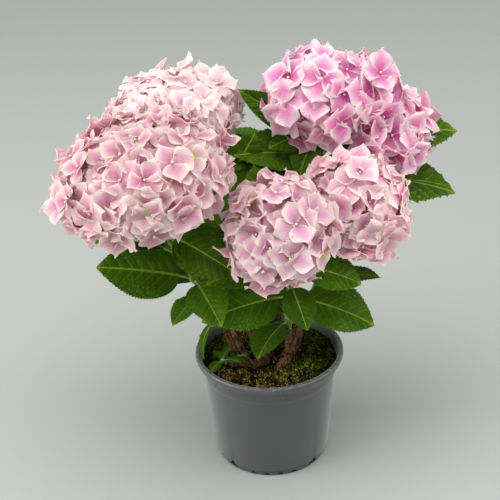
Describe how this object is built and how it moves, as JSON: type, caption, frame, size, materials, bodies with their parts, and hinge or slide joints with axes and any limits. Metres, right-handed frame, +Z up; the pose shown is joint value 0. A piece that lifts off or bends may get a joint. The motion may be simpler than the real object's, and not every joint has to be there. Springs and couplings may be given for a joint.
{
  "type": "potted mophead hydrangea shrub",
  "caption": "Bushy mophead hydrangea in a round nursery pot: woody crown, leaning leafy stems and large pink and cream flower heads.",
  "frame": {"origin": "centre of the pot's flat underside, on the surface that the pot stands on", "axes": "+Z up the plant; -Y is the front that shows all five flower heads; +X to the right of that front"},
  "size_m": [0.4965, 0.4122, 0.53],
  "materials": {
    "pot": "moulded matt grey polypropylene, faint dust and rubbed rim",
    "soil": "moist dark potting compost with bark crumbs and clumps of green moss",
    "bark": "thin flaking brown bark on woody hydrangea stems",
    "bloom": "soft matt sepals, mauve pink in the middle with creamy white margins, on green shoots",
    "leaf": "mid green toothed leaves, satin upper side with sunken veins"
  },
  "bodies": {
    "root": {"pot": "pot", "soil": "soil", "root_crown": "bark", "bough_left_front": "bark", "bough_left_back": "bark", "bough_right_back": "bark", "bough_centre_front": "bark", "bough_right_front": "bark", "bough_back": "bark", "bough_back_right": "bark", "bough_back_left": "bark", "bloom_shoot_left_front": "bloom", "bloom_shoot_left_back": "bloom", "bloom_shoot_right_back": "bloom", "bloom_shoot_centre_front": "bloom", "bloom_shoot_right_front": "bloom", "leafy_shoot_basal": "leaf", "leafy_shoot_back": "leaf", "leafy_shoot_back_right": "leaf", "leafy_shoot_back_left": "leaf"}
  },
  "joints": []
}
